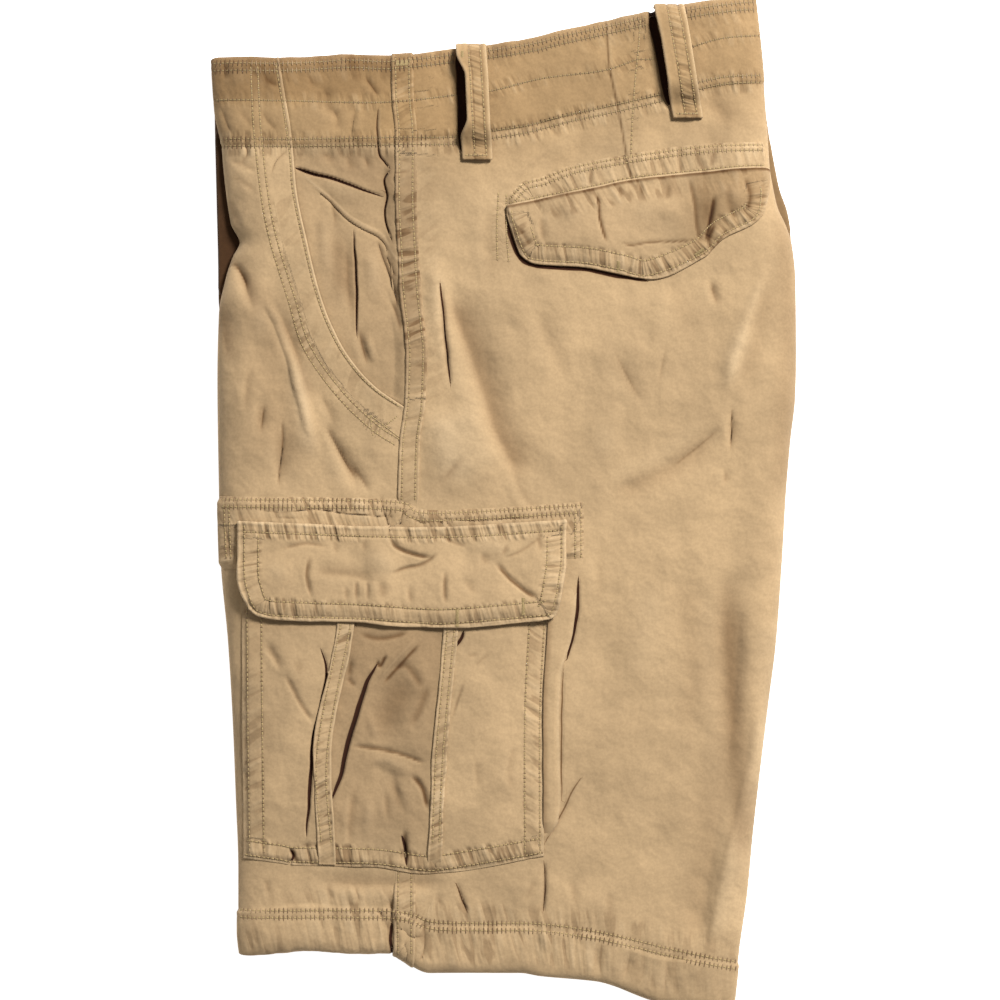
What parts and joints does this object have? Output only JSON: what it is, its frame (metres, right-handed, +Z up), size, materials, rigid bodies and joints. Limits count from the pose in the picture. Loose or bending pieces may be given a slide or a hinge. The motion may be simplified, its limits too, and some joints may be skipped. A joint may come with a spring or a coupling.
{
  "type": "cargo shorts",
  "caption": "Folded cargo shorts lying flat on their side, with a flapped cargo pocket, a flapped back pocket, a slanted hand pocket and arched belt loops.",
  "frame": {"origin": "centre of the underside's bounding rectangle, on the surface that the shorts lie on", "axes": "+Y from the hem to the waist, +X from the front fold to the back fold, +Z up, away from the surface"},
  "size_m": [0.365, 0.6308, 0.0312],
  "materials": {
    "twill": "washed cotton twill, matt, khaki",
    "twill_pocket": "washed cotton twill with puckered topstitching, khaki",
    "twill_hidden": "washed cotton twill in the fold's shade, khaki"
  },
  "bodies": {
    "root": {"hidden_layers": "twill_hidden", "front_panel": "twill", "pocket_facing": "twill", "side_seam": "twill", "back_panel": "twill", "back_pocket_band": "twill_pocket", "back_flap": "twill_pocket", "cargo_band": "twill_pocket", "cargo_front": "twill_pocket", "cargo_pleat": "twill_pocket", "cargo_back": "twill_pocket", "cargo_strip_front": "twill_pocket", "cargo_strip_back": "twill_pocket", "cargo_bellows": "twill_pocket", "cargo_flap": "twill_pocket", "belt_loop_side": "twill", "belt_loop_back": "twill"}
  },
  "joints": []
}
